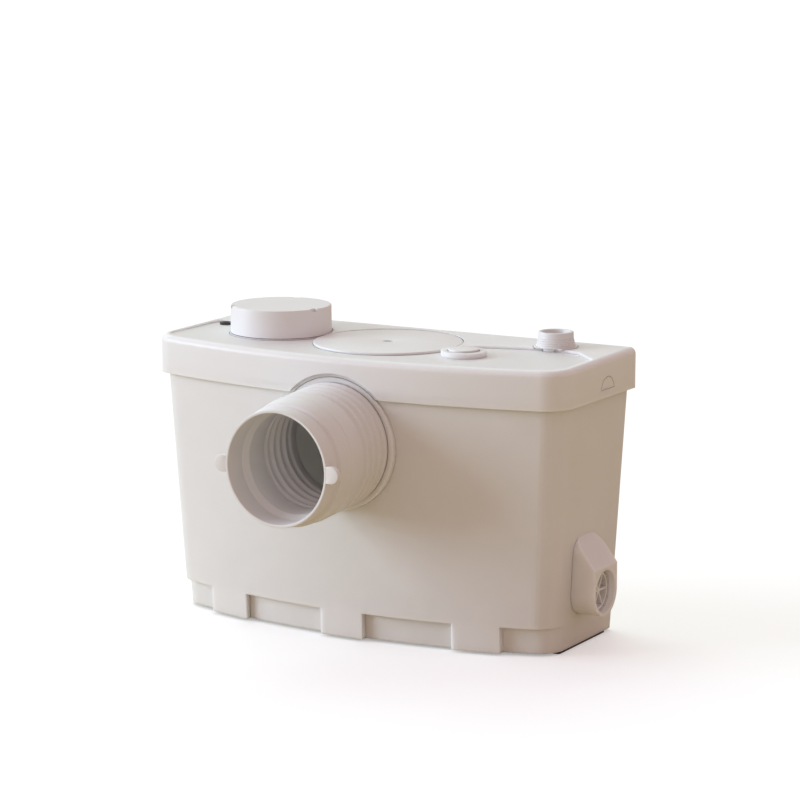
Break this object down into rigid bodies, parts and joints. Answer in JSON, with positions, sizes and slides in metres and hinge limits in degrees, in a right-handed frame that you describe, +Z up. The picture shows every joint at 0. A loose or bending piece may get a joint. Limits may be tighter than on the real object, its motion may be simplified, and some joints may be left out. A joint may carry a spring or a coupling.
{
  "type": "sewage lifting unit",
  "caption": "Wall-standing macerating lifting unit: white tank and lid, ribbed inlet sleeve, round cover, vent cap, plugged inlets and threaded outlet.",
  "frame": {"origin": "middle of the overall box, on the floor under the rubber feet", "axes": "+X to the side with the small side inlet, +Y to the wall behind the unit, +Z up; the toilet inlet faces -Y"},
  "size_m": [0.451, 0.276, 0.2967],
  "materials": {
    "shell_abs": "satin moulded ABS",
    "cover_abs": "satin moulded ABS",
    "sleeve_rubber": "soft flexible PVC",
    "seal_rubber": "smooth EPDM",
    "foot_rubber": "matt rubber strip",
    "nozzle_abs": "moulded thread",
    "pipe_pvc": "plain PVC",
    "glass_filled": "glass-filled polyamide",
    "valve_pvc": "plain PVC",
    "stainless": "brushed stainless steel",
    "shaft_steel": "ground steel",
    "bearing_steel": "ground bearing steel",
    "capsule_metal": "as cast",
    "lamination": "stacked laminations",
    "copper_wire": "varnished copper wire",
    "box_plastic": "moulded grey plastic",
    "diaphragm_rubber": "smooth rubber",
    "capacitor_can": "drawn can",
    "terminal_plastic": "moulded thermoset",
    "charcoal": "coarse carbon foam"
  },
  "bodies": {
    "unit": {"tank": "shell_abs", "foot_left": "foot_rubber", "foot_right": "foot_rubber", "lid": "shell_abs", "lid_gasket": "seal_rubber", "inlet_sleeve": "sleeve_rubber", "outlet_nozzle": "nozzle_abs", "cable_grommet": "seal_rubber", "motor_capsule": "capsule_metal", "motor_cap": "glass_filled", "motor_stator": "lamination", "winding_lower": "copper_wire", "winding_upper": "copper_wire", "bearing_lower": "bearing_steel", "bearing_upper": "bearing_steel", "shaft_seal": "diaphragm_rubber", "motor_legs": "stainless", "cutting_plate": "stainless", "macerator_cage": "stainless", "pump_casing": "glass_filled", "discharge_pipe": "pipe_pvc", "riser_pipe": "pipe_pvc", "check_valve_body": "valve_pvc", "check_valve_pin": "stainless", "control_box": "box_plastic", "control_box_cover": "box_plastic", "air_bell": "pipe_pvc", "pressure_switch_cup": "box_plastic", "pressure_switch_cap": "box_plastic", "microswitch": "terminal_plastic", "capacitor": "capacitor_can", "terminal_block": "terminal_plastic"},
    "rotor": {"motor_rotor": "lamination", "motor_shaft": "shaft_steel", "cutter": "stainless", "impeller": "glass_filled"},
    "valve_flap": {"check_valve_flap": "diaphragm_rubber"},
    "plunger": {"diaphragm_plunger": "diaphragm_rubber"},
    "button": {"microswitch_button": "cover_abs"},
    "access_cover": {"inspection_cover": "cover_abs", "cover_seal": "seal_rubber", "cover_screw": "stainless"},
    "vent_lid": {"vent_cap": "cover_abs", "charcoal_basket": "valve_pvc", "charcoal_pad": "charcoal"},
    "basin_plug": {"basin_inlet_plug": "cover_abs", "basin_plug_seal": "seal_rubber"},
    "side_plug": {"side_inlet_plug": "cover_abs", "side_plug_seal": "seal_rubber"}
  },
  "joints": [
    {"name": "rotor_spin", "type": "hinge", "parent": "unit", "child": "rotor", "pos_m": [-0.0045, 0.054, 0.12], "axis": [0, 0, 1], "continuous": true},
    {"name": "valve_swing", "type": "hinge", "parent": "unit", "child": "valve_flap", "pos_m": [0.1348, 0.102, 0.1284], "axis": [0, -1, 0], "range_deg": [0, 60]},
    {"name": "plunger_rise", "type": "slide", "parent": "unit", "child": "plunger", "axis": [0, 0, 1], "range_m": [0, 0.003], "stiffness_N_per_m": 150},
    {"name": "button_press", "type": "slide", "parent": "unit", "child": "button", "axis": [0, 0, 1], "range_m": [0, 0.003]},
    {"name": "cover_lift", "type": "slide", "parent": "unit", "child": "access_cover", "axis": [0, 0, 1], "range_m": [0, 0.06]},
    {"name": "vent_lift", "type": "slide", "parent": "unit", "child": "vent_lid", "axis": [0, 0, 1], "range_m": [0, 0.06]},
    {"name": "basin_plug_pull", "type": "slide", "parent": "unit", "child": "basin_plug", "axis": [0, 0, 1], "range_m": [0, 0.04]},
    {"name": "side_plug_pull", "type": "slide", "parent": "unit", "child": "side_plug", "axis": [1, 0, 0], "range_m": [0, 0.04]}
  ],
  "couplings": [
    {"joint": "button_press", "follows": "plunger_rise", "ratio": 1}
  ]
}
